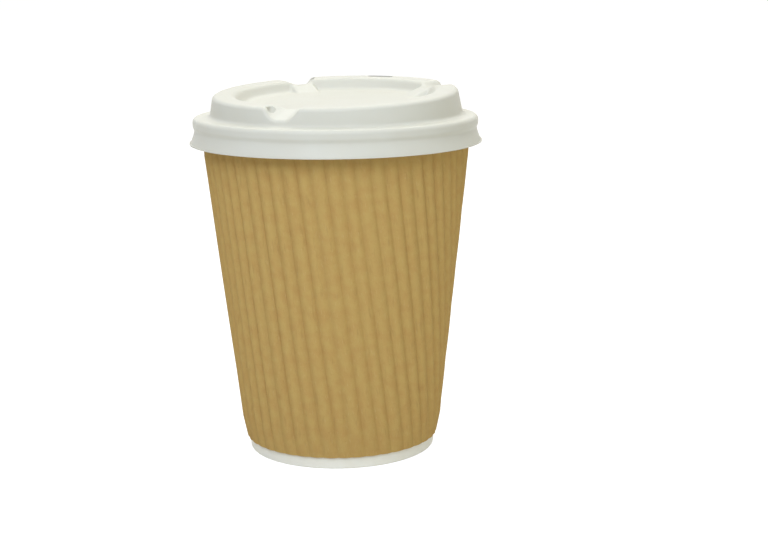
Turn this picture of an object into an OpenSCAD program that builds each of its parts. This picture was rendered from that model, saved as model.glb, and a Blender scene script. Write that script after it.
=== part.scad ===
// Ripple-wall paper cup with a sip lid that snaps over its rolled rim.
// The cup stands on its foot at z = 0, its axis is Z, and the viewer stands at -Y.
// An azimuth of 0 faces the viewer, and 90 is the viewer's right.

/* [Cup] */
// Outer radius of the side wall where its cone meets the table
foot_r = 30.3; // [26:0.1:34]
// Height of the cup to the top of its rolled rim
cup_h = 108.4; // [105:0.1:125]
// Growth of the wall's radius for each millimetre of height
taper = 0.11; // [0.09:0.005:0.13]
// Thickness of the side wall's and the bottom's paper
paper_t = 0.4; // [0.3:0.05:0.6]
// Radius of the rolled rim's tube
rim_roll_r = 1.45; // [1.1:0.05:1.8]
// Gap left between the end of the rolled edge and the wall, in degrees of the roll
rim_roll_open = 35; // [20:5:60]
// Azimuth of the side wall's glued lap
wall_seam_az = 150; // [90:5:270]
// Width of the side wall's glued lap
wall_seam_w = 6; // [4:0.5:10]
// Film of glue between two layers of paper
glue_t = 0.05; // [0.02:0.01:0.1]

/* [Foot] */
// Height of the bottom disc's upper face above the table
bottom_z = 9.5; // [8:0.5:14]
// Radius of the bend between the bottom disc and its skirt
bottom_bend_r = 1; // [0.7:0.1:2]
// Height of the folded hem inside the foot
hem_h = 6.5; // [5:0.5:7]
// Depth to which the fold is pressed flat where it meets the table
hem_flat = 0.1; // [0.05:0.05:0.15]

/* [Ripple sleeve] */
// Height of the sleeve's lower edge
sleeve_z0 = 4; // [2:0.5:8]
// Distance of the sleeve's upper edge below the rim's top
sleeve_drop = 5; // [4:0.5:12]
// Thickness of the fluted kraft sheet
kraft_t = 0.35; // [0.25:0.05:0.5]
// Overall thickness of the fluted layer on the wall
ripple_t = 1.5; // [1:0.1:2.2]
// Spacing of the flutes on the flat blank
flute_pitch = 5.25; // [4:0.05:8]
// Azimuth at which a flute runs straight up the cone
straight_az = -53; // [-120:1:0]
// Width of the sleeve's glued lap
lap_w = 8; // [5:0.5:12]
// Distance over which the flutes fade out beside the lap
lap_fade = 4; // [3:0.5:8]
// Glue between the flutes' valleys and the wall
flute_glue = 0.08; // [0.06:0.01:0.15]

/* [Lid skirt] */
// Thickness of the lid's formed sheet
lid_t = 0.4; // [0.3:0.05:0.6]
// Gap between the rolled rim and the sheet above it
seat_gap = 0.1; // [0.05:0.05:0.3]
// Radial play between the rolled rim and the lid's waist
waist_play = 0.1; // [0.08:0.01:0.3]
// How far the shoulder stands out from the waist
shoulder_out = 0.25; // [0.1:0.05:0.6]
// How far the skirt's lower edge stands out from the waist
flare_out = 1.65; // [1:0.05:2.5]
// Drop from the shelf's upper face to the middle of the shoulder
shoulder_drop = 2.6; // [2:0.1:3.5]
// Drop from the shelf's upper face to the waist
waist_drop = 4.1; // [3.8:0.1:5]
// Drop from the shelf's upper face to the skirt's lower edge
skirt_drop = 8.4; // [7:0.1:10]
// Radius of the bend between the shelf and the shoulder
shelf_bend_r = 1.5; // [1:0.1:2]
// Width of the small lip turned out at the skirt's lower edge
edge_lip = 0.35; // [0.2:0.05:0.6]

/* [Lid crown] */
// Height of the crown's rim plane above the shelf, on the cup's axis
crown_h = 7.6; // [7.2:0.1:10]
// Tilt of the crown's rim plane
crown_tilt = 2.9; // [2:0.1:4]
// Azimuth at which the crown is highest, where one drinks
sip_az = 163; // [90:1:180]
// Outer radius of the crown's rim
crown_r = 39; // [37:0.1:39.6]
// Growth of the crown wall's radius for each millimetre down
crown_draft = 0.19; // [0.1:0.01:0.22]
// Radius of the rounding at the crown's outer edge
crown_edge_r = 1.2; // [0.8:0.1:1.6]
// Width of the crown's rim, from its outer edge in to the recess
crown_rim_w = 7.3; // [6:0.1:9]
// Depth of the recess under the rim plane
recess_depth = 3.6; // [3:0.1:4.2]
// Growth of the recess's radius for each millimetre up
recess_draft = 0.7; // [0.5:0.05:0.9]
// Radius of the bends at the top and foot of the recess's wall
recess_bend_r = 1; // [0.8:0.1:1.2]

/* [Lid troughs] */
// Angle from the drinking spot to the trough on each side of it
trough_side_angle = 46; // [30:1:50]
// Width of a trough's floor
trough_floor_w = 7.2; // [6:0.1:10]
// Spread of each side of a trough for each millimetre up
trough_flank = 0.7; // [0.4:0.05:0.9]
// Depth of a trough's floor under the rim plane, at the crown's outer edge
trough_depth = 3.5; // [3:0.1:4]
// Slope of a trough's floor, down and outwards
trough_slope = 16; // [8:1:18]
// Slope of the ramp that leads from a trough's inner end down to the recess's floor
ramp_slope = 20; // [18:1:35]
// Distance from the recess's upper edge in to the crest between trough and ramp
crest_in = 0.7; // [0.3:0.1:1.5]
// Radius of the bends along a trough's floor
trough_bend_r = 1; // [0.5:0.1:1.5]
// Radius of the small round pocket in one side of each trough
pocket_r = 1.4; // [0.8:0.1:1.5]

/* [Lid openings] */
// Length of the sip hole
sip_len = 9; // [6:0.5:12]
// Width of the sip hole
sip_w = 2.4; // [1.8:0.1:3.5]
// Width of the rim left between the sip hole and the crown's outer edge
sip_edge = 1.5; // [1.3:0.1:2.5]
// Radius of the vent hole in the recess's floor
vent_r = 0.6; // [0.4:0.1:1]
// Distance of the vent hole from the recess's centre
vent_at = 22; // [8:1:23]

/* [Hidden] */
$fn = 96;

// Overruns: a cutter past what it cuts, and a hidden end inside what covers it
over = 1;
reach = 3;
paper_white = [0.93, 0.93, 0.9];
kraft = [0.72, 0.6, 0.4];
lid_white = [0.93, 0.92, 0.87];

// Side wall: the half-angle of its cone, and its outer radius at height z
cone_a = atan(taper);
function wall_r(z) = foot_r + taper * z;

// Rolled rim: the wall runs up the inner side of the roll
roll_z = cup_h - rim_roll_r;
roll_c = wall_r(roll_z) - paper_t + rim_roll_r;
rim_r = roll_c + rim_roll_r;

// Foot: wall, bottom's skirt and hem lie one in the other, and the fold takes all three in
layer = paper_t + glue_t;
fold_r = layer + paper_t / 2;
fold_z = fold_r - hem_flat;
fold_c = wall_r(fold_z) - fold_r;

// Sleeve: distances from the cone's apex, and the edges of its fan-shaped blank
sleeve_z1 = cup_h - sleeve_drop;
apex_z = -foot_r / taper;
slant0 = (sleeve_z0 - apex_z) / cos(cone_a);
slant1 = (sleeve_z1 - apex_z) / cos(cone_a);
fan_right = 180 * sin(cone_a);
fan_left = -fan_right - lap_w / (slant0 + slant1) * 360 / PI;
blank_left = slant1 * sin(fan_left);
blank_right = slant1 * sin(fan_right);
flutes = round((blank_right - blank_left) / flute_pitch);
// One flute: places across it, and how far up each stands, as shares of the whole
flute_at = [0, 0.2, 0.5, 0.8];
flute_up = [0, 0.8, 1, 0.8];
per_flute = len(flute_at);
columns = flutes * per_flute;
rows = 8;
flute_rise = ripple_t - kraft_t - flute_glue;

// Lid: its heights and radii all follow the rim that it snaps over
shelf_z = cup_h + seat_gap + lid_t;
waist_r = rim_r + waist_play + lid_t;
shoulder_r = waist_r + shoulder_out;
edge_r = waist_r + flare_out;
edge_z = shelf_z - skirt_drop;
rim_plane_z = shelf_z + crown_h;
draft_a = atan(crown_draft);
recess_a = atan(recess_draft);
recess_r = crown_r - crown_rim_w;
recess_floor_r = recess_r + recess_bend_r * (1 - 2 * cos(recess_a))
    - recess_draft * (recess_depth - 2 * recess_bend_r * (1 - sin(recess_a)));
flank_a = atan(trough_flank);
trough_in = recess_r - reach;
trough_out = crown_r + 2 * over;
trough_up = trough_depth + reach;
// Ramps: each trough's floor turns down at its crest and runs in under the recess's floor
crest_r = recess_r - crest_in;
crest_depth = trough_depth - (crown_r - crest_r) * tan(trough_slope);
ramp_len = (recess_depth - crest_depth + over) / sin(ramp_slope);
ramp_down = recess_depth + over;
rim_mid_r = crown_r - crown_rim_w / 2;

// Points of an arc about c from angle a0 to a1
function arc(c, r, a0, a1, n = 5) =
    [for (i = [0 : n]) let (a = a0 + (a1 - a0) * i / n) c + r * [cos(a), sin(a)]];

// 0 up to a, 1 from b on, and a smooth step between
function smooth(x, a, b) = let (t = min(1, max(0, (x - a) / (b - a)))) t * t * (3 - 2 * t);

// Turns children that lie along +X to an azimuth
module at_az(az) rotate([0, 0, az - 90]) children();

// Section of a strip along the wall, between two depths counted in from its outer face
module wall_strip(z0, z1, in0, in1)
    polygon([
        [wall_r(z0) - in1, z0], [wall_r(z0) - in0, z0],
        [wall_r(z1) - in0, z1], [wall_r(z1) - in1, z1]
    ]);

// Section of the rolled rim: a tube of paper whose edge stops short of the wall
module roll_section()
    translate([roll_c, roll_z])
        difference() {
            circle(rim_roll_r);
            circle(rim_roll_r - paper_t);
            polygon([
                [0, 0],
                2 * rim_roll_r * [cos(190), sin(190)],
                2 * rim_roll_r * [cos(190 + rim_roll_open), sin(190 + rim_roll_open)]
            ]);
        }

// Section of the hem: the wall turns in under the bottom's skirt and runs up inside it
module hem_section() {
    difference() {
        translate([fold_c, fold_z]) circle(fold_r);
        translate([fold_c, fold_z]) circle(fold_r - paper_t);
        translate([fold_c - 2 * fold_r, fold_z]) square(4 * fold_r);
        translate([fold_c - 2 * fold_r, -4 * fold_r]) square(4 * fold_r);
    }
    wall_strip(fold_z, hem_h, 2 * layer, 2 * layer + paper_t);
}

// Side wall: one sheet with a rolled rim, a folded hem and a glued lap up its inner face
module cup_wall() color(paper_white) {
    lap_turn = wall_seam_w / wall_r(cup_h / 2) * 180 / PI;
    rotate_extrude() {
        wall_strip(fold_z, roll_z, 0, paper_t);
        roll_section();
        hem_section();
    }
    at_az(wall_seam_az - lap_turn / 2)
        rotate_extrude(angle = lap_turn)
            wall_strip(bottom_z + over, sleeve_z1, paper_t / 2, 2 * paper_t);
}

// Bottom: a disc raised off the table, with its skirt turned down between wall and hem
module cup_bottom() color(paper_white) {
    bend_z = bottom_z - bottom_bend_r;
    bend_c = wall_r(bend_z) - layer - bottom_bend_r;
    rotate_extrude()
        polygon(concat(
            [[wall_r(fold_z) - layer, fold_z]],
            arc([bend_c, bend_z], bottom_bend_r, 0, 90),
            [[0, bottom_z], [0, bottom_z - paper_t]],
            arc([bend_c, bend_z], bottom_bend_r - paper_t, 90, 0),
            [[wall_r(fold_z) - layer - paper_t, fold_z]]
        ));
}

// Where a column of the sleeve's blank starts: at its lower edge, or at the lap's edge
function slant_start(x) = max(slant0, x < 0 ? x / sin(fan_left) : x / sin(fan_right));

// A point of the fluted sheet. Flutes run parallel on the flat blank, so column k keeps
// its distance x from the blank's middle line while it climbs from row 0 to the last row.
function sleeve_point(k, i, sheet) =
    let (
        phase = k % per_flute,
        x = blank_left + (blank_right - blank_left) * (floor(k / per_flute) + flute_at[phase]) / flutes,
        start = slant_start(x),
        slant = start + (slant1 - start) * i / rows,
        fan = asin(x / slant),
        from_left = (fan - fan_left) * slant * PI / 180,
        from_right = (fan_right - fan) * slant * PI / 180,
        on_top = 1 - smooth(from_left, lap_w + 1, lap_w + lap_fade),
        full = smooth(from_left, lap_w + lap_fade, lap_w + 2 * lap_fade)
            * smooth(from_right, lap_w + 1, lap_w + 1 + lap_fade),
        lift = flute_glue + on_top * (kraft_t + flute_glue) + full * flute_rise * flute_up[phase] + sheet,
        r = slant * sin(cone_a) + lift * cos(cone_a),
        az = straight_az - 90 + fan / sin(cone_a)
    )
    [r * cos(az), r * sin(az), apex_z + slant * cos(cone_a) - lift * sin(cone_a)];

// Number of a grid vertex: both end columns shrink to a single point
grid = (columns - 1) * (rows + 1);
function vertex(k, i, side) =
    side * grid + (
        k == 0 ? 2 * grid - side * grid + side
        : k == columns ? 2 * grid - side * grid + 2 + side
        : (k - 1) * (rows + 1) + i
    );

// Two triangles over a four-cornered cell, or one where two of its corners are the same
function cell(a, b, c, d) =
    a == b ? [[a, c, d]] : c == d ? [[a, b, c]] : [[a, b, c], [a, c, d]];

// Fluted sleeve: one open sheet round the wall, its two edges lapped and pressed flat
module ripple_sleeve() color(kraft) {
    points = concat(
        [for (sheet = [kraft_t, 0]) for (k = [1 : columns - 1]) for (i = [0 : rows])
            sleeve_point(k, i, sheet)],
        [for (k = [0, columns]) for (sheet = [kraft_t, 0]) sleeve_point(k, rows, sheet)]
    );
    outer = [for (k = [0 : columns - 1]) for (i = [0 : rows - 1])
        each cell(vertex(k, i, 0), vertex(k, i + 1, 0), vertex(k + 1, i + 1, 0), vertex(k + 1, i, 0))];
    inner = [for (k = [0 : columns - 1]) for (i = [0 : rows - 1])
        each cell(vertex(k + 1, i, 1), vertex(k + 1, i + 1, 1), vertex(k, i + 1, 1), vertex(k, i, 1))];
    low = [for (k = [0 : columns - 1])
        each cell(vertex(k, 0, 1), vertex(k, 0, 0), vertex(k + 1, 0, 0), vertex(k + 1, 0, 1))];
    high = [for (k = [0 : columns - 1])
        each cell(vertex(k + 1, rows, 1), vertex(k + 1, rows, 0), vertex(k, rows, 0), vertex(k, rows, 1))];
    polyhedron(points, concat(outer, inner, low, high));
}

// Turns children into the crown's tilted frame: z = 0 in the rim plane, +X to the drinking spot
module crown_frame() translate([0, 0, rim_plane_z]) at_az(sip_az) rotate([0, -crown_tilt, 0]) children();

// Space under the skirt's and shelf's face, or under a face that lies t inside it
module skirt_space(t) {
    side_r = edge_r - edge_lip;
    bend = [shoulder_r - shelf_bend_r, shelf_z - shelf_bend_r];
    low = t == 0
        ? [[0, edge_z], [edge_r, edge_z], [edge_r, edge_z + lid_t], [side_r, edge_z + lid_t]]
        : [[0, edge_z - over], [side_r - t, edge_z - over], [side_r - t, edge_z + lid_t]];
    rotate_extrude()
        polygon(concat(
            low,
            [[waist_r - t, shelf_z - waist_drop], [shoulder_r - t, shelf_z - shoulder_drop]],
            arc(bend, shelf_bend_r - t, 0, 90),
            [[0, shelf_z - t]]
        ));
}

// Space under the crown's face: its wall, rim and recess, or a face that lies t inside it
module crown_space(t) {
    foot = crown_h + reach;
    edge = [crown_r - crown_edge_r, -crown_edge_r];
    wall_top = edge + (crown_edge_r - t) * [cos(draft_a), sin(draft_a)];
    rotate_extrude()
        polygon(concat(
            [[0, -foot], [wall_top.x + crown_draft * (foot + wall_top.y), -foot]],
            arc(edge, crown_edge_r - t, draft_a, 90),
            arc([recess_r + recess_bend_r, -recess_bend_r], recess_bend_r - t, 90, 180 - recess_a),
            arc([recess_floor_r, recess_bend_r - recess_depth], recess_bend_r + t, 360 - recess_a, 270),
            [[0, -recess_depth - t]]
        ));
}

// Cutter for one trough across the crown's rim, or one that lies t outside it
module trough(t) {
    corner = trough_floor_w / 2 + trough_flank * trough_bend_r - trough_bend_r / cos(flank_a);
    side = arc([corner, trough_bend_r], trough_bend_r + t, 270, 360 - flank_a, 3);
    top = trough_floor_w / 2 + trough_flank * trough_up + t / cos(flank_a);
    half = concat(side, [[top, trough_up]]);
    pocket_up = trough_depth - pocket_r;
    translate([crown_r, 0, -trough_depth])
        rotate([0, trough_slope, 0])
            translate([trough_in - crown_r, 0, 0])
                rotate([90, 0, 90])
                    linear_extrude(trough_out - trough_in)
                        polygon(concat(half, [for (i = [len(half) - 1 : -1 : 0]) [-half[i].x, half[i].y]]));
    translate([rim_mid_r, -trough_floor_w / 2 - trough_flank * pocket_up, -pocket_r])
        sphere(pocket_r + t);
}

// Ramp from one trough's crest down to the recess's floor, or one whose faces lie t inside it
module ramp(t) {
    half = trough_floor_w / 2 - t / cos(flank_a);
    top = half + trough_flank * t;
    foot = half + trough_flank * ramp_down;
    translate([crest_r, 0, -crest_depth])
        rotate([0, -ramp_slope, 0])
            translate([-ramp_len, 0, 0])
                rotate([90, 0, 90])
                    linear_extrude(ramp_len + 2 * over)
                        polygon([[-foot, -ramp_down], [foot, -ramp_down], [top, -t], [-top, -t]]);
}

// Crown's space with its three troughs taken out and their ramps put in
module crown_with_troughs(t)
    crown_frame()
        difference() {
            union() {
                crown_space(t);
                at_troughs() ramp(t);
            }
            at_troughs() trough(t);
        }

// Repeats children at the three troughs
module at_troughs()
    for (turn = [180, -trough_side_angle, trough_side_angle]) rotate([0, 0, turn]) children();

// Sip hole through the crown's rim, near its outer edge: a slot with round ends
module sip_hole()
    translate([crown_r - sip_edge - sip_w / 2, 0, -over]) {
        for (side = [-1, 1])
            translate([0, side * (sip_len - sip_w) / 2, 0]) cylinder(h = 2 * over, r = sip_w / 2);
        translate([-sip_w / 2, (sip_w - sip_len) / 2, 0]) cube([sip_w, sip_len - sip_w, 2 * over]);
    }

// Lid: one formed sheet, the space under its outer face less the space under its inner face
module lid() color(lid_white)
    difference() {
        union() {
            skirt_space(0);
            crown_with_troughs(0);
        }
        skirt_space(lid_t);
        crown_with_troughs(lid_t);
        crown_frame() {
            sip_hole();
            translate([-vent_at, 0, -recess_depth - over - lid_t]) cylinder(h = 2 * over + lid_t, r = vent_r);
        }
    }

cup_wall();
cup_bottom();
ripple_sleeve();
lid();
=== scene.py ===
"""Looks of a ripple-wall paper cup: a white board cup, its fluted kraft sleeve and its formed sip lid.

Lengths are in metres. The cup stands on z = 0, its axis is Z, and the viewer stands at -Y.
An azimuth of 0 faces the viewer, and one of 90 degrees is the viewer's right.
"""

import math

import bpy
import numpy as np
from bpy.props import FloatProperty, FloatVectorProperty, IntProperty, PointerProperty
from bpy.types import NodeSocket, Operator, Panel, PropertyGroup, Scene
from mathutils import Matrix, Vector


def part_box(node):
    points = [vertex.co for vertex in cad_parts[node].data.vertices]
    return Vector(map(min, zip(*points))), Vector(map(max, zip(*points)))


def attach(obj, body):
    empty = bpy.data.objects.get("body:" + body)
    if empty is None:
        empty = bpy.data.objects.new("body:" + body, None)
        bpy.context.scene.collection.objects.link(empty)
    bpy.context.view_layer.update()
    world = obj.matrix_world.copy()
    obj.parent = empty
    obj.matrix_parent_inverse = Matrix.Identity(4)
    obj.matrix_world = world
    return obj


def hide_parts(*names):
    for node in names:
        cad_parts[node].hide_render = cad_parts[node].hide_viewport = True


bl_info = {
    "name": "Ripple-wall paper cup",
    "version": (1, 0, 0),
    "blender": (4, 5, 0),
    "location": "View3D > Sidebar > Paper cup",
    "description": "Builds the looks of a takeaway cup with a fluted sleeve and a sip lid",
    "category": "Mesh",
}

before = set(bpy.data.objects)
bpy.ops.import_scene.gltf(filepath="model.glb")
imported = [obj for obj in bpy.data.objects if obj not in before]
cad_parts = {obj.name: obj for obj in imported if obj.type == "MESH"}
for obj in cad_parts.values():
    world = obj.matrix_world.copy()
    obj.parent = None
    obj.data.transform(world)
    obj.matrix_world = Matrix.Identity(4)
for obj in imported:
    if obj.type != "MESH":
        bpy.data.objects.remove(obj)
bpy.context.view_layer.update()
MM = 0.001
MERGE = 1e-6

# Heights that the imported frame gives
WALL_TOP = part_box("cup_wall")[1].z
BOTTOM_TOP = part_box("cup_bottom")[1].z
LID_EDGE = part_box("lid")[0].z

# How finely the sleeve and the lid are meshed
FLUTE_COLUMNS = 12
SLEEVE_ROWS = 28
LID_COLUMNS = 440


def length(name, description, default):
    """A length that a user may change."""
    return FloatProperty(name=name, description=description, default=default, unit="LENGTH", precision=5)


def angle(name, description, degrees):
    """An angle that a user may change."""
    turn = math.radians(degrees)
    return FloatProperty(name=name, description=description, default=turn, subtype="ANGLE")


def ratio(name, description, default):
    """A plain number that a user may change."""
    return FloatProperty(name=name, description=description, default=default, precision=3)


def colour(name, description, default):
    """A colour that a user may change."""
    return FloatVectorProperty(
        name=name, description=description, default=default, subtype="COLOR", size=3, min=0, max=1
    )


class CupSizes(PropertyGroup):
    """Sizes of the side wall and the bottom."""

    foot_r: length("Foot radius", "Outer radius of the wall where its cone meets the table", 30.3 * MM)
    height: length("Height", "Height of the cup to the top of its rolled rim", WALL_TOP)
    taper: ratio("Taper", "Growth of the wall's radius for each unit of height", 0.11)
    paper: length("Paper", "Thickness of the side wall's and the bottom's paper", 0.4 * MM)
    roll_r: length("Rim roll", "Radius of the rolled rim's tube", 1.45 * MM)
    roll_end: angle("Roll end", "Where the rolled edge ends, counted back from the wall", 315)
    glue: length("Glue", "Film of glue between two layers of paper", 0.05 * MM)
    bottom_top: length("Bottom", "Height of the bottom disc's upper face", BOTTOM_TOP)
    bottom_bend: length("Bottom bend", "Radius of the bend between the bottom and its skirt", 1 * MM)
    hem: length("Hem", "Height of the folded hem inside the foot", 6.5 * MM)
    hem_flat: length("Hem flat", "Depth to which the fold is pressed flat on the table", 0.1 * MM)
    seam_az: angle("Seam azimuth", "Azimuth of the side wall's glued lap", 150)
    seam_w: length("Seam width", "Width of the side wall's glued lap", 6 * MM)
    steps: IntProperty(name="Steps", description="Faces round the cup", default=256, min=64, max=512)


class SleeveSizes(PropertyGroup):
    """Sizes of the fluted sleeve."""

    low: length("Lower edge", "Height of the sleeve's lower edge", 4 * MM)
    drop: length("Drop", "Distance of the sleeve's upper edge below the rim's top", 5 * MM)
    kraft: length("Kraft", "Thickness of the fluted sheet", 0.35 * MM)
    ripple: length("Ripple", "Overall thickness of the fluted layer on the wall", 1.5 * MM)
    pitch: length("Pitch", "Spacing of the flutes on the flat blank", 4.42 * MM)
    straight_az: angle("Straight flute", "Azimuth at which a flute runs straight up the cone", -53)
    lap: length("Lap", "Width of the sleeve's glued lap", 8 * MM)
    fade: length("Fade", "Distance over which the flutes fade out beside the lap", 4 * MM)
    glue: length("Glue", "Glue between the flutes' valleys and the wall", 0.08 * MM)
    uneven: ratio("Unevenness", "How much the flutes differ in height, as a share of it", 0.16)
    pressed: ratio("Pressed edges", "Share of a flute's height pressed flat at the sleeve's edges", 0.7)
    press_fade: length("Pressed width", "Width of the pressed bands along the sleeve's edges", 7 * MM)


class LidSizes(PropertyGroup):
    """Sizes of the lid."""

    sheet: length("Sheet", "Thickness of the lid's formed sheet", 0.4 * MM)
    seat_gap: length("Seat gap", "Gap between the rolled rim and the sheet above it", 0.1 * MM)
    waist_play: length("Waist play", "Radial play between the rolled rim and the waist", 0.1 * MM)
    shoulder_out: length("Shoulder", "How far the shoulder stands out from the waist", 0.45 * MM)
    flare_out: length("Flare", "How far the skirt's lower edge stands out from the waist", 1.65 * MM)
    shoulder_drop: length("Shoulder drop", "Drop from the shelf to the shoulder", 2.6 * MM)
    waist_drop: length("Waist drop", "Drop from the shelf to the waist", 4.1 * MM)
    shelf_bend: length("Shelf bend", "Radius of the bend between shelf and shoulder", 1.5 * MM)
    edge_lip: length("Edge lip", "Width of the lip turned out at the skirt's lower edge", 0.35 * MM)
    crown_h: length("Crown height", "Height of the crown's rim plane above the shelf", 7.6 * MM)
    crown_tilt: angle("Crown tilt", "Tilt of the crown's rim plane", 2.9)
    sip_az: angle("Drinking spot", "Azimuth at which the crown is highest", 163)
    crown_r: length("Crown radius", "Outer radius of the crown's rim", 39 * MM)
    crown_draft: ratio("Crown draft", "Growth of the crown wall's radius for each unit down", 0.19)
    crown_edge: length("Crown edge", "Radius of the rounding at the crown's outer edge", 1.2 * MM)
    crown_foot: length("Crown foot", "Radius of the fillet between crown and shelf", 1.1 * MM)
    recess_r: length("Recess radius", "Radius where the recess's wall would meet the rim plane", 32.2 * MM)
    recess_depth: length("Recess depth", "Depth of the recess under the rim plane", 3.6 * MM)
    recess_draft: ratio("Recess draft", "Growth of the recess's radius for each unit up", 0.7)
    recess_bend: length("Recess bend", "Radius of the bends along the recess's wall", 1 * MM)
    trough_side: angle("Trough angle", "Angle from the drinking spot to the trough on each side", 46)
    trough_w: length("Trough width", "Width of a trough's floor", 7.2 * MM)
    trough_flank: ratio("Trough flank", "Spread of each side of a trough for each unit up", 0.7)
    trough_depth: length("Trough depth", "Depth of a trough's floor at the crown's edge", 3.5 * MM)
    trough_slope: angle("Trough slope", "Slope of a trough's floor, down and outwards", 16)
    trough_bend: length("Trough bend", "Radius of the bends along a trough's floor", 2 * MM)
    trough_edge: length("Trough edge", "Radius of the rounding along a trough's upper edges", 0.9 * MM)
    ramp_slope: angle("Ramp slope", "Slope of the ramp from a trough's crest down to the recess", 20)
    crest_r: length("Crest radius", "Distance of the crest between trough and ramp", 31 * MM)
    ramp_edge: length("Ramp edge", "Radius of the rounding along a ramp's edges", 0.5 * MM)
    pocket_r: length("Pocket", "Radius of the small round pocket in one side of each trough", 1.4 * MM)
    pocket_edge: length("Pocket edge", "Radius of the rounding round a pocket", 0.25 * MM)
    sip_len: length("Sip length", "Length of the sip hole", 9 * MM)
    sip_w: length("Sip width", "Width of the sip hole", 2.4 * MM)
    sip_edge: length("Sip edge", "Rim left between the sip hole and the crown's edge", 1.5 * MM)
    vent_r: length("Vent radius", "Radius of the vent hole in the recess's floor", 0.6 * MM)
    vent_at: length("Vent place", "Distance of the vent hole from the recess's centre", 22 * MM)


class Finishes(PropertyGroup):
    """Colours of the papers and the plastic."""

    kraft: colour("Kraft", "Kraft paper on the flutes' crests", (0.53, 0.355, 0.118))
    kraft_dark: colour("Kraft, dark", "Darker, redder patches of the kraft paper", (0.51, 0.32, 0.105))
    kraft_fibre: colour("Kraft fibre", "Pale fibres in the kraft paper", (0.58, 0.41, 0.17))
    # The groove colour tints the dark fibres and specks, and also paints shade down in the grooves
    groove: colour("Groove", "Kraft paper down in the grooves", (0.32, 0.195, 0.065))
    board: colour("Board", "Coated white cup board", (0.89, 0.865, 0.755))
    board_edge: colour("Board, warm", "Warmer flecks in the cup board", (0.85, 0.81, 0.68))
    lid: colour("Lid", "Cream-white lid plastic", (0.665, 0.65, 0.565))
    lid_deep: colour("Lid, deep", "Lid plastic where the sheet was drawn thin", (0.64, 0.615, 0.52))


class StageSettings(PropertyGroup):
    """Camera and light."""

    camera_x: length("Camera X", "Place of the camera", 70.4 * MM)
    camera_y: length("Camera Y", "Place of the camera", -498.4 * MM)
    camera_z: length("Camera Z", "Place of the camera", 159.7 * MM)
    yaw: angle("Yaw", "Turn of the camera to the viewer's right", -4.66)
    pitch: angle("Pitch", "How far the camera looks down", 12.84)
    roll: angle("Roll", "Turn of the camera about its view", -0.42)
    lens: ratio("Lens", "Focal length in millimetres", 73.41)
    shift_x: ratio("Shift X", "Shift of the picture sideways", -0.06)
    shift_y: ratio("Shift Y", "Shift of the picture upwards", 0.05)
    key: ratio("Key light", "Power of the soft light high up in front, in watts", 8.35)
    key_tint: colour("Key tint", "Colour of the soft light in front", (0.75, 0.83, 1.0))
    fill: ratio("Fill light", "Power of the soft light at the right, in watts", 1.45)
    fill_tint: colour("Fill tint", "Colour of the soft light at the right", (0.97, 1.0, 0.86))
    overhead: ratio("Overhead light", "Power of the soft light overhead, in watts", 3.5)
    back: ratio("Back light", "Power of the soft light behind and above, in watts", 4.1)
    top_tint: colour("Top tint", "Colour of the lights overhead and behind", (1.0, 1.0, 0.95))
    world: ratio("World light", "Strength of the light from all round", 0.18)
    world_tint: colour("World tint", "Colour of the light from all round", (1.0, 0.94, 0.74))
    floor: length("Floor", "Side of the floor", 12.0)


# Geometry


def arc(centre, radius, start, end, steps):
    """Points (radius, height) along an arc between two angles in degrees."""
    turns = np.radians(np.linspace(start, end, steps + 1))
    return [(centre[0] + radius * math.cos(t), centre[1] + radius * math.sin(t)) for t in turns]


def smooth(x, low, high):
    """0 up to low, 1 from high on, and a smooth step between."""
    t = np.clip((x - low) / (high - low), 0, 1)
    return t * t * (3 - 2 * t)


def rounded_overlap(a, b, radius):
    """Signed distance to the overlap of two solids, with the edge between them rounded."""
    inside = np.minimum(np.maximum(a, b), -radius)
    return inside + np.hypot(np.maximum(a + radius, 0), np.maximum(b + radius, 0))


def evenly(steps):
    """Shares above 0 and up to 1, evenly spaced."""
    return np.linspace(0, 1, steps + 1)[1:]


def dense_at_ends(steps):
    """Shares above 0 and up to 1, closer together at both ends."""
    return (1 - np.cos(np.pi * np.arange(1, steps + 1) / steps)) / 2


def across_face(offset, growth):
    """Turns an offset measured level into one square to a face that leans by a growth for each unit."""
    return offset * math.cos(math.atan(growth))


def start_piece(add, name, **settings):
    """Adds a primitive with nothing else selected, and names it."""
    bpy.ops.object.select_all(action="DESELECT")
    add(**settings)
    piece = bpy.context.object
    piece.name = name
    piece.data.name = name
    return piece


def close_up(piece):
    """Merges doubled points, clears what is left loose and points the faces outwards."""
    bpy.ops.object.mode_set(mode="EDIT")
    bpy.ops.mesh.select_all(action="SELECT")
    bpy.ops.mesh.remove_doubles(threshold=MERGE)
    bpy.ops.mesh.delete_loose(use_verts=True, use_edges=True, use_faces=False)
    bpy.ops.mesh.select_all(action="SELECT")
    bpy.ops.mesh.normals_make_consistent(inside=False)
    bpy.ops.object.mode_set(mode="OBJECT")


def turned(name, section, steps, start):
    """A closed section of (radius, height) points, spun once round the cup's axis."""
    piece = start_piece(
        bpy.ops.mesh.primitive_circle_add, name, vertices=len(section), radius=MM, fill_type="NOTHING"
    )
    for point, (r, z) in zip(piece.data.vertices, section):
        point.co = (r * math.cos(start), r * math.sin(start), z)
    bpy.ops.object.mode_set(mode="EDIT")
    bpy.ops.mesh.select_all(action="SELECT")
    bpy.ops.mesh.spin(steps=steps, angle=2 * math.pi, center=(0, 0, 0), axis=(0, 0, 1))
    bpy.ops.object.mode_set(mode="OBJECT")
    close_up(piece)
    return piece


def grid_shares(piece, columns, rows):
    """Column and row number of each point of a fresh grid of size 1."""
    co = np.empty(len(piece.data.vertices) * 3)
    piece.data.vertices.foreach_get("co", co)
    co = co.reshape(-1, 3)
    return np.rint((co[:, 0] + 0.5) * columns).astype(int), np.rint((co[:, 1] + 0.5) * rows).astype(int)


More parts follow.
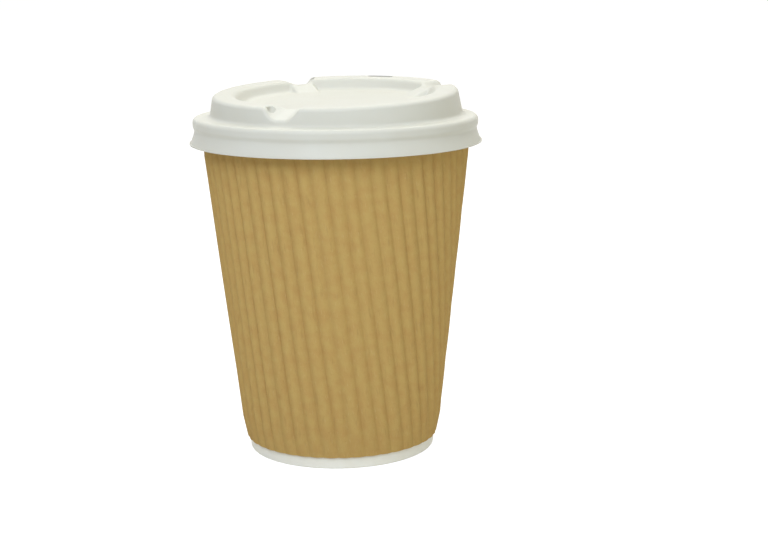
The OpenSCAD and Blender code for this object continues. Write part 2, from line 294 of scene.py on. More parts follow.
def modify(piece, kind, **settings):
    """Adds a modifier and applies it."""
    modifier = piece.modifiers.new(kind.lower(), kind)
    for key, value in settings.items():
        setattr(modifier, key, value)
    bpy.context.view_layer.objects.active = piece
    bpy.ops.object.modifier_apply(modifier=modifier.name)


def finish_piece(piece, body, node, material, smooth_angle=40):
    """Shades a piece, gives it its material, ties it to its body and hides its imported node."""
    bpy.ops.object.select_all(action="DESELECT")
    piece.select_set(True)
    bpy.context.view_layer.objects.active = piece
    bpy.ops.object.shade_smooth_by_angle(angle=math.radians(smooth_angle))
    piece.data.materials.clear()
    piece.data.materials.append(material)
    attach(piece, body)
    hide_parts(node)


# Cup


def wall_radius(cup, z):
    """Outer radius of the side wall at a height."""
    return cup.foot_r + cup.taper * z


def wall_section(cup, seam_low, seam_high):
    """Section of the one sheet that makes hem, fold, side wall and rolled rim."""
    layer = cup.paper + cup.glue
    fold_r = layer + cup.paper / 2
    fold_z = fold_r - cup.hem_flat
    fold = (wall_radius(cup, fold_z) - fold_r, fold_z)
    roll_z = cup.height - cup.roll_r
    roll = (wall_radius(cup, roll_z) - cup.paper + cup.roll_r, roll_z)
    roll_to = 180 - math.degrees(cup.roll_end)
    outer = [(wall_radius(cup, cup.hem) - 2 * layer - cup.paper, cup.hem)]
    outer += [(r, max(z, 0)) for r, z in arc(fold, fold_r, 180, 360, 24)]
    outer += [(wall_radius(cup, z), z) for z in np.linspace(fold_z, roll_z, 10)[1:-1]]
    outer += arc(roll, cup.roll_r - cup.paper, 180, roll_to, 30)
    inner = arc(roll, cup.roll_r, roll_to, 180, 36)
    inner_z = [*np.linspace(roll_z, seam_high, 3)[1:], *np.linspace(seam_high, seam_low, 8)[1:]]
    inner += [(wall_radius(cup, z) - cup.paper, z) for z in inner_z]
    inner += arc(fold, fold_r - cup.paper, 360, 180, 12)
    inner += [(wall_radius(cup, cup.hem) - 2 * layer, cup.hem)]
    return outer + inner


def raise_seam(piece, cup, low, high):
    """Raises the glued lap out of the wall's inner face."""
    turn = cup.seam_w / wall_radius(cup, cup.height / 2)
    middle = cup.seam_az - math.pi / 2
    for face in piece.data.polygons:
        x, y, z = face.center
        away = (math.atan2(y, x) - middle + math.pi) % (2 * math.pi) - math.pi
        inside = math.hypot(x, y) < wall_radius(cup, z) - cup.paper / 2
        face.select = inside and low < z < high and abs(away) < turn / 2
    bpy.ops.object.mode_set(mode="EDIT")
    bpy.ops.mesh.select_mode(type="FACE")
    bpy.ops.mesh.extrude_region()
    bpy.ops.mesh.select_mode(type="VERT")
    bpy.ops.object.mode_set(mode="OBJECT")
    for point in piece.data.vertices:
        if point.select:
            r = math.hypot(point.co.x, point.co.y)
            share = 1 - cup.paper / r
            point.co = (point.co.x * share, point.co.y * share, point.co.z)


def build_wall():
    """Side wall with its folded hem, glued lap and rolled rim."""
    cup = bpy.context.scene.cup_sizes
    seam_low = cup.bottom_top + 1 * MM
    seam_high = cup.height - bpy.context.scene.sleeve_sizes.drop
    half_turn = cup.seam_w / wall_radius(cup, cup.height / 2) / 2
    start = cup.seam_az - math.pi / 2 - half_turn
    piece = turned("side_wall", wall_section(cup, seam_low, seam_high), cup.steps, start)
    raise_seam(piece, cup, seam_low, seam_high)
    finish_piece(piece, "cup", "cup_wall", board_material())


def build_bottom():
    """Raised bottom disc with its skirt turned down behind the hem."""
    cup = bpy.context.scene.cup_sizes
    layer = cup.paper + cup.glue
    low = layer + cup.paper / 2 - cup.hem_flat
    bend_z = cup.bottom_top - cup.bottom_bend
    bend = (wall_radius(cup, bend_z) - layer - cup.bottom_bend, bend_z)
    disc = [bend[0] * share for share in (0.75, 0.5, 0.25)]
    section = [(wall_radius(cup, low) - layer, low)]
    section += arc(bend, cup.bottom_bend, 0, 90, 8)
    section += [(r, cup.bottom_top) for r in disc]
    section += [(0, cup.bottom_top), (0, cup.bottom_top - cup.paper)]
    section += [(r, cup.bottom_top - cup.paper) for r in reversed(disc)]
    section += arc(bend, cup.bottom_bend - cup.paper, 90, 0, 8)
    section += [(wall_radius(cup, low) - layer - cup.paper, low)]
    piece = turned("bottom_disc", section, cup.steps, 0)
    finish_piece(piece, "cup", "cup_bottom", board_material())


# Sleeve


def flute_profile(across):
    """Height of a flute at a share across it: a broad round crest between soft grooves."""
    crest = 1 - np.abs(2 * across - 1) ** 2.2
    return 0.7 * crest + 0.3 * (1 - np.cos(2 * np.pi * across)) / 2


class Blank:
    """The sleeve's flat blank: part of a ring with parallel flutes, which rolls up into the cone.

    A place on it is x, square to the flutes, and its slant, the distance from the cone's tip.
    Its fan is the angle round that tip, counted from the flute that runs straight up.
    """

    def __init__(self, cup, sleeve):
        self.cone = math.atan(cup.taper)
        self.apex = -cup.foot_r / cup.taper
        self.low = (sleeve.low - self.apex) / math.cos(self.cone)
        self.high = (cup.height - sleeve.drop - self.apex) / math.cos(self.cone)
        self.fan_right = math.pi * math.sin(self.cone)
        self.fan_left = -self.fan_right - 2 * sleeve.lap / (self.low + self.high)
        self.left = self.high * math.sin(self.fan_left)
        self.right = self.high * math.sin(self.fan_right)
        self.flutes = round((self.right - self.left) / sleeve.pitch)


def place_across(sleeve, blank, column):
    """Flute number, share across that flute and x of each column, crowded into the grooves."""
    crowding = 0.55
    wander = 0.12 * MM
    flute = column // FLUTE_COLUMNS
    across = (column % FLUTE_COLUMNS) / FLUTE_COLUMNS
    across = across - crowding * np.sin(2 * np.pi * across) / (2 * np.pi)
    x = blank.left + (blank.right - blank.left) * (flute + across) / blank.flutes
    # The flutes wander a little, on two waves that don't repeat within the sleeve
    aside = wander * (np.sin(2.1 * x / sleeve.pitch) + np.sin(3.7 * x / sleeve.pitch + 1.3))
    held = 2 * sleeve.pitch
    return flute, across, x + aside * smooth(x - blank.left, 0, held) * smooth(blank.right - x, 0, held)


def slant_of(blank, x, row):
    """Slant of each row, from the blank's lower edge or the lap's edge up to the upper edge."""
    edge = np.where(x < 0, x / math.sin(blank.fan_left), x / math.sin(blank.fan_right))
    start = np.maximum(blank.low, edge)
    return start + (blank.high - start) * row / SLEEVE_ROWS


def flute_strength(sleeve, blank, fan, slant):
    """Share of its height that a flute keeps: none beside the lap, little along the sleeve's edges."""
    from_left = (fan - blank.fan_left) * slant
    from_right = (blank.fan_right - fan) * slant
    from_edge = np.minimum(slant - blank.low, blank.high - slant)
    flat = sleeve.lap + 1 * MM
    full = smooth(from_left, sleeve.lap + sleeve.fade, sleeve.lap + 2 * sleeve.fade)
    full = full * smooth(from_right, flat, flat + sleeve.fade)
    return full * (1 - sleeve.pressed * (1 - smooth(from_edge, 0, sleeve.press_fade)))


def flute_height(sleeve, blank, flute, across, slant):
    """Height of the flutes as a share of the full one: no two of them were pressed quite alike."""
    sway_size = 0.04
    draw = np.random.default_rng(7)
    crest = 1 - sleeve.uneven * draw.random(blank.flutes + 1)
    groove = sleeve.uneven * draw.random(blank.flutes + 2)
    sway = draw.random(blank.flutes + 1) * 2 * np.pi
    along = (slant - blank.low) / (blank.high - blank.low)
    crest_here = crest[flute] - sway_size * (1 + np.sin(2 * np.pi * along + sway[flute]))
    groove_here = groove[flute] + (groove[flute + 1] - groove[flute]) * smooth(across, 0, 1)
    return groove_here + (crest_here - groove_here) * flute_profile(across)


def note_blank(piece, x, slant, groove):
    """Keeps the blank's own coordinates, for the paper's grain, and the grooves, for the shade painted into
    them.
    """
    corner = np.empty(len(piece.data.loops), int)
    piece.data.loops.foreach_get("vertex_index", corner)
    layer = piece.data.uv_layers[0]
    layer.name = "blank"
    layer.data.foreach_set("uv", np.stack([x[corner], slant[corner]], 1).ravel())
    depth = piece.data.attributes.new("groove", "FLOAT", "POINT")
    depth.data.foreach_set("value", groove)


def build_sleeve():
    """Fluted kraft sheet: a flat fan-shaped blank, pressed into flutes and rolled round the cone."""
    cup = bpy.context.scene.cup_sizes
    sleeve = bpy.context.scene.sleeve_sizes
    blank = Blank(cup, sleeve)
    columns = blank.flutes * FLUTE_COLUMNS
    piece = start_piece(
        bpy.ops.mesh.primitive_grid_add, "kraft_sleeve",
        x_subdivisions=columns, y_subdivisions=SLEEVE_ROWS, size=1,
    )
    column, row = grid_shares(piece, columns, SLEEVE_ROWS)
    flute, across, x = place_across(sleeve, blank, column)
    slant = slant_of(blank, x, row)
    fan = np.arcsin(np.clip(x / slant, -1, 1))
    full = flute_strength(sleeve, blank, fan, slant)
    on_lap = 1 - smooth((fan - blank.fan_left) * slant, sleeve.lap + 1 * MM, sleeve.lap + sleeve.fade)
    rise = sleeve.ripple - sleeve.kraft - sleeve.glue
    lift = sleeve.glue + sleeve.kraft + on_lap * (sleeve.kraft + sleeve.glue)
    lift = lift + full * rise * flute_height(sleeve, blank, flute, across, slant)

    r = slant * math.sin(blank.cone) + lift * math.cos(blank.cone)
    turn = sleeve.straight_az - math.pi / 2 + fan / math.sin(blank.cone)
    z = blank.apex + slant * math.cos(blank.cone) - lift * math.sin(blank.cone)
    co = np.stack([r * np.cos(turn), r * np.sin(turn), z], 1)
    piece.data.vertices.foreach_set("co", co.ravel())
    # The last value marks the grooves, which the kraft's colour darkens as painted shade
    note_blank(piece, x, slant, full * (1 - smooth(flute_profile(across), 0, 1)))
    piece.data.update()

    bpy.ops.object.mode_set(mode="EDIT")
    bpy.ops.mesh.select_all(action="SELECT")
    bpy.ops.mesh.remove_doubles(threshold=MERGE)
    bpy.ops.object.mode_set(mode="OBJECT")
    modify(piece, "SOLIDIFY", thickness=sleeve.kraft, offset=-1, use_rim=True)
    finish_piece(piece, "cup", "ripple_sleeve", kraft_material(), smooth_angle=60)


# Lid


def lid_levels(lid):
    """Radii and heights of the lid that follow the rim that it snaps over."""
    cup = bpy.context.scene.cup_sizes
    roll_z = cup.height - cup.roll_r
    rim_r = wall_radius(cup, roll_z) - cup.paper + 2 * cup.roll_r
    waist_r = rim_r + lid.waist_play + lid.sheet
    shelf_z = cup.height + lid.seat_gap + lid.sheet
    return {
        "waist_r": waist_r,
        "shoulder_r": waist_r + lid.shoulder_out,
        "edge_r": waist_r + lid.flare_out,
        "shelf_z": shelf_z,
        "plane_z": shelf_z + lid.crown_h,
    }


def crown_frame(lid):
    """The crown's tilted frame: z = 0 in its rim plane, and +X towards the drinking spot."""
    return (
        Matrix.Translation((0, 0, lid_levels(lid)["plane_z"]))
        @ Matrix.Rotation(lid.sip_az - math.pi / 2, 4, "Z")
        @ Matrix.Rotation(-lid.crown_tilt, 4, "Y")
    )


def in_crown_frame(lid, points):
    """Points as seen in the crown's tilted frame."""
    to_crown = np.array(crown_frame(lid).inverted())
    return points @ to_crown[:3, :3].T + to_crown[:3, 3]


def trough_turns(lid):
    """Turn of each trough from the drinking spot."""
    return (math.pi, -lid.trough_side, lid.trough_side)


def seen_from_trough(lid, local, turn):
    """Distance along and across a trough, and up from its floor, of points in the crown's frame."""
    x, y, z = local.T
    along = x * math.cos(turn) + y * math.sin(turn)
    across = y * math.cos(turn) - x * math.sin(turn)
    floor = (lid.crown_r - along) * math.tan(lid.trough_slope) - lid.trough_depth
    return along, across, (z - floor) * math.cos(lid.trough_slope)


def ramp_distance(lid, local, turn):
    """Signed distance to the ramp that leads from a trough's crest down to the recess's floor."""
    past_crest = 2 * MM
    along, across, _up = seen_from_trough(lid, local, turn)
    crest = (lid.crown_r - lid.crest_r) * math.tan(lid.trough_slope) - lid.trough_depth
    face = crest + (along - lid.crest_r) * math.tan(lid.ramp_slope)
    up = (local[:, 2] - face) * math.cos(lid.ramp_slope)
    flank = across_face(np.abs(across) - lid.trough_w / 2 + lid.trough_flank * up, lid.trough_flank)
    return np.maximum(rounded_overlap(up, flank, lid.ramp_edge), along - lid.crest_r - past_crest)


def trough_distance(lid, local, turn):
    """Signed distance to the space of a trough."""
    _along, across, up = seen_from_trough(lid, local, turn)
    flank = across_face(np.abs(across) - lid.trough_w / 2 - lid.trough_flank * up, lid.trough_flank)
    return rounded_overlap(-up, flank, lid.trough_bend)


def pocket_distance(lid, local, turn):
    """Signed distance to the small round pocket in one side of a trough."""
    along, across, _up = seen_from_trough(lid, local, turn)
    pocket_across = lid.trough_w / 2 + lid.trough_flank * (lid.trough_depth - lid.pocket_r)
    pocket_along = (lid.crown_r + lid.recess_r) / 2
    apart = np.stack([along - pocket_along, across + pocket_across, local[:, 2] + lid.pocket_r])
    return np.sqrt((apart**2).sum(0)) - lid.pocket_r


def crown_distance(lid, local):
    """Signed distance to the crown with its recess, and without ramps and troughs."""
    r = np.hypot(local[:, 0], local[:, 1])
    z = local[:, 2]
    wall = across_face(r - lid.crown_r + lid.crown_draft * z, lid.crown_draft)
    cone = across_face(r - lid.recess_r - lid.recess_draft * z, lid.recess_draft)
    recess = rounded_overlap(cone, -lid.recess_depth - z, lid.recess_bend)
    crown = rounded_overlap(wall, z, lid.crown_edge)
    return rounded_overlap(crown, -recess, lid.recess_bend)


def lid_distance(lid, points):
    """Signed distance of points from the lid's outer face down to its shoulder, negative below it."""
    levels = lid_levels(lid)
    local = in_crown_frame(lid, points)
    crown = crown_distance(lid, local)
    for turn in trough_turns(lid):
        crown = -rounded_overlap(-crown, -ramp_distance(lid, local, turn), lid.ramp_edge)
    for turn in trough_turns(lid):
        crown = rounded_overlap(crown, -trough_distance(lid, local, turn), lid.trough_edge)
        crown = rounded_overlap(crown, -pocket_distance(lid, local, turn), lid.pocket_edge)
    side = np.hypot(points[:, 0], points[:, 1]) - levels["shoulder_r"]
    skirt = rounded_overlap(points[:, 2] - levels["shelf_z"], side, lid.shelf_bend)
    return -rounded_overlap(-crown, -skirt, lid.crown_foot)


def settle(lid, points, rounds):
    """Moves points to the lid's outer face along its slope."""
    step = 0.01 * MM
    least_steepness = 0.05
    for _ in range(rounds):
        here = lid_distance(lid, points)
        slope = np.empty_like(points)
        for axis in range(3):
            aside = np.zeros(3)
            aside[axis] = step
            ahead = lid_distance(lid, points + aside)
            behind = lid_distance(lid, points - aside)
            slope[:, axis] = (ahead - behind) / (2 * step)
        steepness = np.maximum((slope**2).sum(1), least_steepness)
        points = points - slope * (here / steepness)[:, None]
    return points


def lid_columns(lid):
    """Turns of the lid's columns in the crown's frame, crowded together at the troughs."""
    crowding = 1.8
    reach = math.radians(15)
    samples = 20 * 360 + 1
    fine = np.linspace(-math.pi, math.pi, samples)
    crowd = np.ones_like(fine)
    for turn in trough_turns(lid):
        away = (fine - turn + math.pi) % (2 * math.pi) - math.pi
        crowd = crowd + crowding * np.exp(-((away / reach) ** 4))
    total = np.concatenate([[0], np.cumsum((crowd[1:] + crowd[:-1]) / 2)])
    return np.interp(np.linspace(0, total[-1], LID_COLUMNS + 1), total, fine)


def crown_rows(lid, turns):
    """Rows of points from the recess's centre over the crown's rim down to its foot."""
    matrix = np.array(crown_frame(lid))

    def row(r, z):
        local = np.stack([r * np.cos(turns), r * np.sin(turns), np.broadcast_to(z, turns.shape)], 1)
        return local @ matrix[:3, :3].T + matrix[:3, 3]

    # The ramps reach the outer quarter of the floor, which gets more rows
    floor = -lid.recess_depth
    foot_r = lid.recess_r - lid.recess_draft * lid.recess_depth
    flat_r = 0.75 * foot_r
    rows = [row(r, floor) for r in np.linspace(0, flat_r, 6)]
    rows += [row(flat_r + (foot_r - flat_r) * share, floor) for share in evenly(12)]
    for share in dense_at_ends(8):
        rows.append(row(foot_r + (lid.recess_r - foot_r) * share, floor * (1 - share)))
    for share in dense_at_ends(14):
        rows.append(row(lid.recess_r + (lid.crown_r - lid.recess_r) * share, 0))
    # The crown's wall runs down to the shelf, which lies at another depth at each turn
    lean = np.cos(turns) * math.sin(lid.crown_tilt)
    drop = (lid.crown_h + lid.crown_r * lean) / (math.cos(lid.crown_tilt) - lid.crown_draft * lean)
    for share in dense_at_ends(20):
        rows.append(row(lid.crown_r + lid.crown_draft * drop * share, -drop * share))
    return rows


def lid_rows(lid, turns):
    """Rows of the lid's outer face with no troughs yet: those above the shoulder, and those from it down."""
    levels = lid_levels(lid)
    above = crown_rows(lid, turns)
    crown_foot = above[-1]
    outward = crown_foot[:, :2] / np.hypot(crown_foot[:, 0], crown_foot[:, 1])[:, None]

    def ring(r, z):
        return np.column_stack([outward * r, np.full(len(turns), z)])

    bend = (levels["shoulder_r"] - lid.shelf_bend, levels["shelf_z"] - lid.shelf_bend)
    shelf_edge = ring(bend[0], levels["shelf_z"])
    shoulder_z = levels["shelf_z"] - lid.shoulder_drop
    above += [crown_foot + (shelf_edge - crown_foot) * share for share in dense_at_ends(8)]
    above += [ring(r, z) for r, z in arc(bend, lid.shelf_bend, 90, 0, 8)[1:]]
    above += [ring(levels["shoulder_r"], z) for z in np.linspace(bend[1], shoulder_z, 4)[1:-1]]

    flare_power = 1.35
    waist_z = levels["shelf_z"] - lid.waist_drop
    lip_z = LID_EDGE + lid.sheet
    below = [ring(levels["shoulder_r"], shoulder_z)]
    for share in evenly(5):
        r = levels["shoulder_r"] - lid.shoulder_out * smooth(share, 0, 1)
        below.append(ring(r, shoulder_z - (lid.waist_drop - lid.shoulder_drop) * share))
    for share in evenly(10):
        r = levels["waist_r"] + (lid.flare_out - lid.edge_lip) * share**flare_power
        below.append(ring(r, waist_z + (lip_z - waist_z) * share))
    for share in evenly(3):
        below.append(ring(levels["edge_r"] - lid.edge_lip * (1 - share), lip_z))
    return np.array(above), np.array(below)


def near_troughs(lid, points):
    """1 in and beside the troughs, and 0 away from them."""
    local = in_crown_frame(lid, points)
    near = np.zeros(len(points))
    for turn in trough_turns(lid):
        along, across, _up = seen_from_trough(lid, local, turn)
        beside = 1 - smooth(np.abs(across), 8 * MM, 12 * MM)
        near = np.maximum(near, beside * smooth(along, 20 * MM, 23 * MM))
    return near


def evened(grid, share):
    """Rows of points, each moved towards the middle of its four neighbours by its share."""
    middle = grid[1:-1]
    # The first and the last column are the same place
    wrapped = np.concatenate([middle[:, -2:-1], middle, middle[:, 1:2]], 1)
    around = (grid[:-2] + grid[2:] + wrapped[:, :-2] + wrapped[:, 2:]) / 4
    moved = grid.copy()
    moved[1:-1] = middle + (around - middle) * share[1:-1, :, None]
    return moved


def press_crown(lid, rows):
    """Presses the troughs and pockets into the crown's rows and rounds its bends."""
    press_rounds = 24
    even_rounds = 20
    even_share = 0.5
    down = -np.array(crown_frame(lid))[:3, 2]
    shaped = rows.reshape(-1, 3)
    for _ in range(press_rounds):
        shaped = shaped + down * lid_distance(lid, shaped)[:, None]
    shaped = settle(lid, shaped, 6)
    for _ in range(even_rounds):
        share = near_troughs(lid, shaped).reshape(rows.shape[:2]) * even_share
        grid = evened(shaped.reshape(rows.shape), share)
        shaped = settle(lid, grid.reshape(-1, 3), 1)
    return settle(lid, shaped, 3).reshape(rows.shape)


def cut_through(piece, cutter):
    """Cuts one piece out of another and removes it."""
    modify(piece, "BOOLEAN", object=cutter, operation="DIFFERENCE", solver="EXACT")
    bpy.data.objects.remove(cutter)


def sip_cutter(lid):
    """Slot with round ends, across the sheet at the drinking spot."""
    cutter = start_piece(
        bpy.ops.mesh.primitive_cylinder_add, "sip_cutter", vertices=64, radius=lid.sip_w / 2, depth=3 * MM
    )
    half = (lid.sip_len - lid.sip_w) / 2
    at = lid.crown_r - lid.sip_edge - lid.sip_w / 2
    for point in cutter.data.vertices:
        point.co.y += math.copysign(half, point.co.y)
        point.co.x += at
    cutter.data.transform(crown_frame(lid))
    return cutter


def vent_cutter(lid):
    """Small round hole in the recess's floor."""
    cutter = start_piece(
        bpy.ops.mesh.primitive_cylinder_add, "vent_cutter", vertices=32, radius=lid.vent_r, depth=3 * MM
    )
    place = Matrix.Translation((-lid.vent_at, 0, -lid.recess_depth))
    cutter.data.transform(crown_frame(lid) @ place)
    return cutter


def build_lid():
    """Lid: one formed sheet with a tilted crown, three troughs and a skirt that snaps over the rim."""
    lid = bpy.context.scene.lid_sizes
    above, below = lid_rows(lid, lid_columns(lid))
    rows = np.concatenate([press_crown(lid, above), below])
    piece = start_piece(
        bpy.ops.mesh.primitive_grid_add, "formed_lid",
        x_subdivisions=LID_COLUMNS, y_subdivisions=len(rows) - 1, size=1,
    )
    column, row = grid_shares(piece, LID_COLUMNS, len(rows) - 1)
    piece.data.vertices.foreach_set("co", rows[row, column].ravel())
    piece.data.update()
    bpy.ops.object.mode_set(mode="EDIT")
    bpy.ops.mesh.select_all(action="SELECT")
    bpy.ops.mesh.remove_doubles(threshold=MERGE)
    # Seen from above, rows from the centre outwards turn the fresh grid's faces over
    bpy.ops.mesh.flip_normals()
    bpy.ops.object.mode_set(mode="OBJECT")
    modify(piece, "SOLIDIFY", thickness=lid.sheet, offset=-1, use_rim=True)
    cut_through(piece, sip_cutter(lid))
    cut_through(piece, vent_cutter(lid))
    finish_piece(piece, "lid", "lid", lid_material())


# Materials


def node(tree, kind, inputs=None, **settings):
    """Adds a shader node, with inputs that are numbers or come from other nodes."""
    made = tree.nodes.new(kind)
    for key, value in settings.items():
        setattr(made, key, value)
    for key, value in (inputs or {}).items():
        if isinstance(value, NodeSocket):
            tree.links.new(value, made.inputs[key])
        else:
            made.inputs[key].default_value = value
    return made


def blend_colours(tree, share, first, second):
    """Mixes the second colour over the first and returns the output."""
    made = tree.nodes.new("ShaderNodeMix")
    made.data_type = "RGBA"
    tree.links.new(share, made.inputs[0])
    for place, value in ((6, first), (7, second)):
        if isinstance(value, NodeSocket):
            tree.links.new(value, made.inputs[place])
        else:
            made.inputs[place].default_value = (*value, 1)
    return made.outputs[2]


def ranged(tree, value, from_range, to_range):
    """Stretches a value from one range to another and returns the output."""
    inputs = {"Value": value, "From Min": from_range[0], "From Max": from_range[1]}
    inputs.update({"To Min": to_range[0], "To Max": to_range[1]})
    return node(tree, "ShaderNodeMapRange", inputs).outputs[0]


def noise(tree, place, scale, detail, roughness=0.5):
    """A noise pattern with so many patches to the metre, as an output."""
    inputs = {"Vector": place, "Scale": scale, "Detail": detail, "Roughness": roughness}
    return node(tree, "ShaderNodeTexNoise", inputs).outputs["Fac"]


def new_material(name):
    """A material with its node tree and main shader, or with neither where it was made before."""
    material = bpy.data.materials.get(name)
    if material:
        return material, None, None
    material = bpy.data.materials.new(name)
    material.use_nodes = True
    return material, material.node_tree, material.node_tree.nodes["Principled BSDF"]


def relief(tree, shader, height, depth):
    """Gives a shader a bump of so many metres."""
    bump = node(tree, "ShaderNodeBump", {"Height": height, "Distance": depth, "Strength": 1.0})
    tree.links.new(bump.outputs[0], shader.inputs["Normal"])


def kraft_material():
    """Matt kraft paper: cloudy colour, pale and dark fibres along the flutes, and painted shade darkening
    the grooves.
    """
    finishes = bpy.context.scene.finishes
    material, tree, shader = new_material("kraft_finish")
    if tree is None:
        return material
    # The blank's coordinates, and the same squeezed along the flutes, which draws the fibres out
    blank = node(tree, "ShaderNodeUVMap", uv_map="blank").outputs[0]
    grain = node(tree, "ShaderNodeMapping", {"Vector": blank, "Scale": (1, 0.16, 1)}).outputs[0]
    clouds = noise(tree, blank, scale=260, detail=4)
    speckle = noise(tree, blank, scale=1500, detail=2, roughness=0.6)
    fibres = noise(tree, grain, scale=2600, detail=3, roughness=0.6)
    strands = noise(tree, grain, scale=900, detail=2)
    # The groove mask, for the painted shade in the grooves
    groove = node(tree, "ShaderNodeAttribute", attribute_name="groove").outputs["Fac"]
    body = finishes.kraft
    layers = (
        (clouds, (0.38, 0.66), (0, 1), finishes.kraft_dark),
        (fibres, (0.58, 0.72), (0, 0.55), finishes.kraft_fibre),
        (strands, (0.6, 0.74), (0, 0.25), finishes.groove),
        (speckle, (0.6, 0.75), (0, 0.2), finishes.groove),
        # Painted shade down in the grooves, following the groove mask
        (groove, (0, 1), (0, 0.14), finishes.groove),
    )
    for pattern, from_range, to_range, tone in layers:
        body = blend_colours(tree, ranged(tree, pattern, from_range, to_range), body, tone)
    tree.links.new(body, shader.inputs["Base Color"])
    tree.links.new(ranged(tree, speckle, (0.3, 0.7), (0.78, 0.92)), shader.inputs["Roughness"])
    shader.inputs["Specular IOR Level"].default_value = 0.08
    height = node(tree, "ShaderNodeMath", {0: fibres, 1: speckle}, operation="ADD").outputs[0]
    relief(tree, shader, height, 0.05 * MM)
    return material


def board_material():
    """Coated cup board: white, satin, with faint warm flecks and a fine tooth."""
    finishes = bpy.context.scene.finishes
    material, tree, shader = new_material("board_finish")
    if tree is None:
        return material
    place = node(tree, "ShaderNodeTexCoord").outputs["Object"]
    clouds = noise(tree, place, scale=160, detail=3)
    tooth = noise(tree, place, scale=2400, detail=2)
    flecks = ranged(tree, clouds, (0.4, 0.7), (0, 0.6))
    body = blend_colours(tree, flecks, finishes.board, finishes.board_edge)
    tree.links.new(body, shader.inputs["Base Color"])
    tree.links.new(ranged(tree, tooth, (0.3, 0.7), (0.42, 0.56)), shader.inputs["Roughness"])
    shader.inputs["Specular IOR Level"].default_value = 0.4
    relief(tree, shader, tooth, 0.015 * MM)
    return material


def lid_material():
    """Formed plastic sheet: cream-white, satin, very slightly uneven."""
    finishes = bpy.context.scene.finishes
    material, tree, shader = new_material("lid_finish")
    if tree is None:
        return material
    place = node(tree, "ShaderNodeTexCoord").outputs["Object"]
    drawn = noise(tree, place, scale=70, detail=3)
    skin = noise(tree, place, scale=1800, detail=2)
    waves = noise(tree, place, scale=110, detail=2)
    thin = ranged(tree, drawn, (0.4, 0.7), (0, 0.5))
    body = blend_colours(tree, thin, finishes.lid, finishes.lid_deep)
    tree.links.new(body, shader.inputs["Base Color"])
    tree.links.new(ranged(tree, skin, (0.3, 0.7), (0.34, 0.44)), shader.inputs["Roughness"])
    shader.inputs["Specular IOR Level"].default_value = 0.16
    shader.inputs["Subsurface Weight"].default_value = 0.1
    shader.inputs["Subsurface Radius"].default_value = (1.2, 1.0, 0.8)
    shader.inputs["Subsurface Scale"].default_value = 0.6 * MM
    small = node(tree, "ShaderNodeMath", {0: skin, 1: 0.08}, operation="MULTIPLY").outputs[0]
    height = node(tree, "ShaderNodeMath", {0: waves, 1: small}, operation="ADD").outputs[0]
    relief(tree, shader, height, 0.12 * MM)
    return material


def backdrop_rays(tree):
    """1 for the rays that meet a white backdrop: the camera's, mirrored and straight-through ones."""
    rays = node(tree, "ShaderNodeLightPath").outputs
    share = rays["Is Camera Ray"]
    for kind in ("Is Transmission Ray", "Is Glossy Ray"):
        share = node(tree, "ShaderNodeMath", {0: share, 1: rays[kind]}, operation="MAXIMUM").outputs[0]
    return share


def floor_material():
    """White floor that still shows the cup's shadow."""
    material, tree, shader = new_material("floor_white")
    if tree is None:
        return material
    tree.nodes.remove(shader)
    plain = node(tree, "ShaderNodeBsdfDiffuse", {"Color": (0.82, 0.82, 0.8, 1)}).outputs[0]
    glow = node(tree, "ShaderNodeEmission", {"Color": (1, 1, 1, 1), "Strength": 0.96}).outputs[0]
    faint = node(tree, "ShaderNodeBsdfDiffuse", {"Color": (0.3, 0.3, 0.3, 1)}).outputs[0]
    white = node(tree, "ShaderNodeAddShader", {0: glow, 1: faint}).outputs[0]
    mixed = node(tree, "ShaderNodeMixShader", {0: backdrop_rays(tree), 1: plain, 2: white}).outputs[0]
    tree.links.new(mixed, tree.nodes["Material Output"].inputs["Surface"])
    return material


# Stage


def soft_light(name, place, target, width, height, power, tint):
    """A rectangular soft light that faces a point."""
    bpy.ops.object.select_all(action="DESELECT")
    bpy.ops.object.light_add(type="AREA", location=place)
    lamp = bpy.context.object
    lamp.name = name
    lamp.rotation_euler = (Vector(target) - Vector(place)).to_track_quat("-Z", "Y").to_euler()
    lamp.data.shape = "RECTANGLE"
    lamp.data.size = width
    lamp.data.size_y = height
    lamp.data.energy = power
    lamp.data.color = tint


def build_world(strength, tint):
    """World light, which the camera sees as white."""
    world = bpy.data.worlds.new("studio")
    bpy.context.scene.world = world
    world.use_nodes = True
    tree = world.node_tree
    plain = tree.nodes["Background"]
    plain.inputs["Color"].default_value = (*tint, 1)
    plain.inputs["Strength"].default_value = strength
    white = node(tree, "ShaderNodeBackground", {"Color": (1, 1, 1, 1), "Strength": 1.0})
    sides = {0: backdrop_rays(tree), 1: plain.outputs[0], 2: white.outputs[0]}
    mixed = node(tree, "ShaderNodeMixShader", sides)
    tree.links.new(mixed.outputs[0], tree.nodes["World Output"].inputs["Surface"])


def build_camera(stage):
    """Camera at the photograph's place and angle."""
    bpy.ops.object.camera_add(location=(stage.camera_x, stage.camera_y, stage.camera_z))
    camera = bpy.context.object
    camera.name = "photo_camera"
    turn = (
        Matrix.Rotation(-stage.yaw, 4, "Z")
        @ Matrix.Rotation(math.pi / 2 - stage.pitch, 4, "X")
        @ Matrix.Rotation(stage.roll, 4, "Z")
    )
    camera.rotation_euler = turn.to_euler()
    camera.data.sensor_width = 36
    camera.data.lens = stage.lens
    camera.data.shift_x = stage.shift_x
    camera.data.shift_y = stage.shift_y
    camera.data.clip_start = 0.01
    camera.data.clip_end = 50
    bpy.context.scene.camera = camera


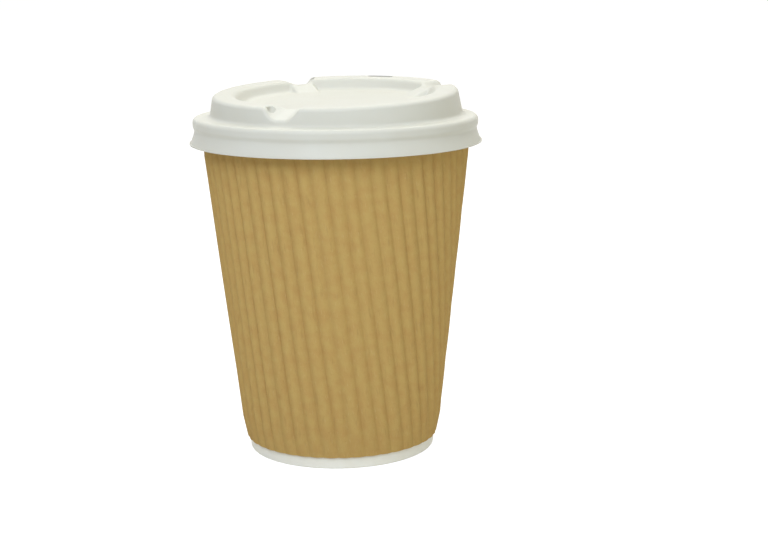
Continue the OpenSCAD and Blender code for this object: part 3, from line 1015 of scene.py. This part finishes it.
def build_stage():
    """Floor, world, lights and camera."""
    stage = bpy.context.scene.stage_settings
    floor = start_piece(bpy.ops.mesh.primitive_plane_add, "floor", size=stage.floor)
    floor.data.materials.append(floor_material())
    middle = (0, 0, bpy.context.scene.cup_sizes.height / 2)
    build_world(stage.world, stage.world_tint)
    soft_light("key", (-0.1, -0.75, 0.75), middle, 0.9, 0.6, stage.key, stage.key_tint)
    soft_light("fill", (0.9, -0.5, 0.25), middle, 0.7, 0.7, stage.fill, stage.fill_tint)
    soft_light("overhead", (0.0, 0.0, 1.0), middle, 1.0, 1.0, stage.overhead, stage.top_tint)
    soft_light("back", (0.0, 0.55, 0.85), middle, 0.9, 0.6, stage.back, stage.top_tint)
    build_camera(stage)
    bpy.context.scene.view_settings.view_transform = "Standard"


# Add-on


class CUP_OT_wall(Operator):
    """Build the side wall with its rolled rim and folded hem"""

    bl_idname = "cup.wall"
    bl_label = "Side wall"

    def execute(self, context):
        build_wall()
        return {"FINISHED"}


class CUP_OT_bottom(Operator):
    """Build the raised bottom disc"""

    bl_idname = "cup.bottom"
    bl_label = "Bottom"

    def execute(self, context):
        build_bottom()
        return {"FINISHED"}


class CUP_OT_sleeve(Operator):
    """Build the fluted kraft sleeve"""

    bl_idname = "cup.sleeve"
    bl_label = "Ripple sleeve"

    def execute(self, context):
        build_sleeve()
        return {"FINISHED"}


class CUP_OT_lid(Operator):
    """Build the formed sip lid"""

    bl_idname = "cup.lid"
    bl_label = "Lid"

    def execute(self, context):
        build_lid()
        return {"FINISHED"}


class CUP_OT_stage(Operator):
    """Build the floor, the lights and the camera"""

    bl_idname = "cup.stage"
    bl_label = "Stage"

    def execute(self, context):
        build_stage()
        return {"FINISHED"}


class CUP_PT_panel(Panel):
    """Lists the cup's pieces and its stage in the sidebar"""

    bl_idname = "CUP_PT_panel"
    bl_label = "Paper cup"
    bl_space_type = "VIEW_3D"
    bl_region_type = "UI"
    bl_category = "Paper cup"

    def draw(self, context):
        for operator in OPERATORS:
            self.layout.operator(operator.bl_idname)
        for name in GROUPS:
            group = getattr(context.scene, name)
            box = self.layout.box()
            box.label(text=name.replace("_", " ").capitalize())
            for key in group.__annotations__:
                box.prop(group, key)


OPERATORS = (CUP_OT_stage, CUP_OT_wall, CUP_OT_bottom, CUP_OT_sleeve, CUP_OT_lid)
GROUPS = {
    "cup_sizes": CupSizes,
    "sleeve_sizes": SleeveSizes,
    "lid_sizes": LidSizes,
    "finishes": Finishes,
    "stage_settings": StageSettings,
}


def register():
    """Registers the property groups, the operators and the panel."""
    for name, group in GROUPS.items():
        bpy.utils.register_class(group)
        setattr(Scene, name, PointerProperty(type=group))
    for operator in OPERATORS:
        bpy.utils.register_class(operator)
    bpy.utils.register_class(CUP_PT_panel)


def unregister():
    """Takes back what register() did."""
    bpy.utils.unregister_class(CUP_PT_panel)
    for operator in reversed(OPERATORS):
        bpy.utils.unregister_class(operator)
    for name, group in reversed(GROUPS.items()):
        delattr(Scene, name)
        bpy.utils.unregister_class(group)


def main():
    """Builds the stage and the pieces."""
    register()
    bpy.ops.cup.stage()
    bpy.ops.cup.wall()
    bpy.ops.cup.bottom()
    bpy.ops.cup.sleeve()
    bpy.ops.cup.lid()


if __name__ == "__main__":
    main()
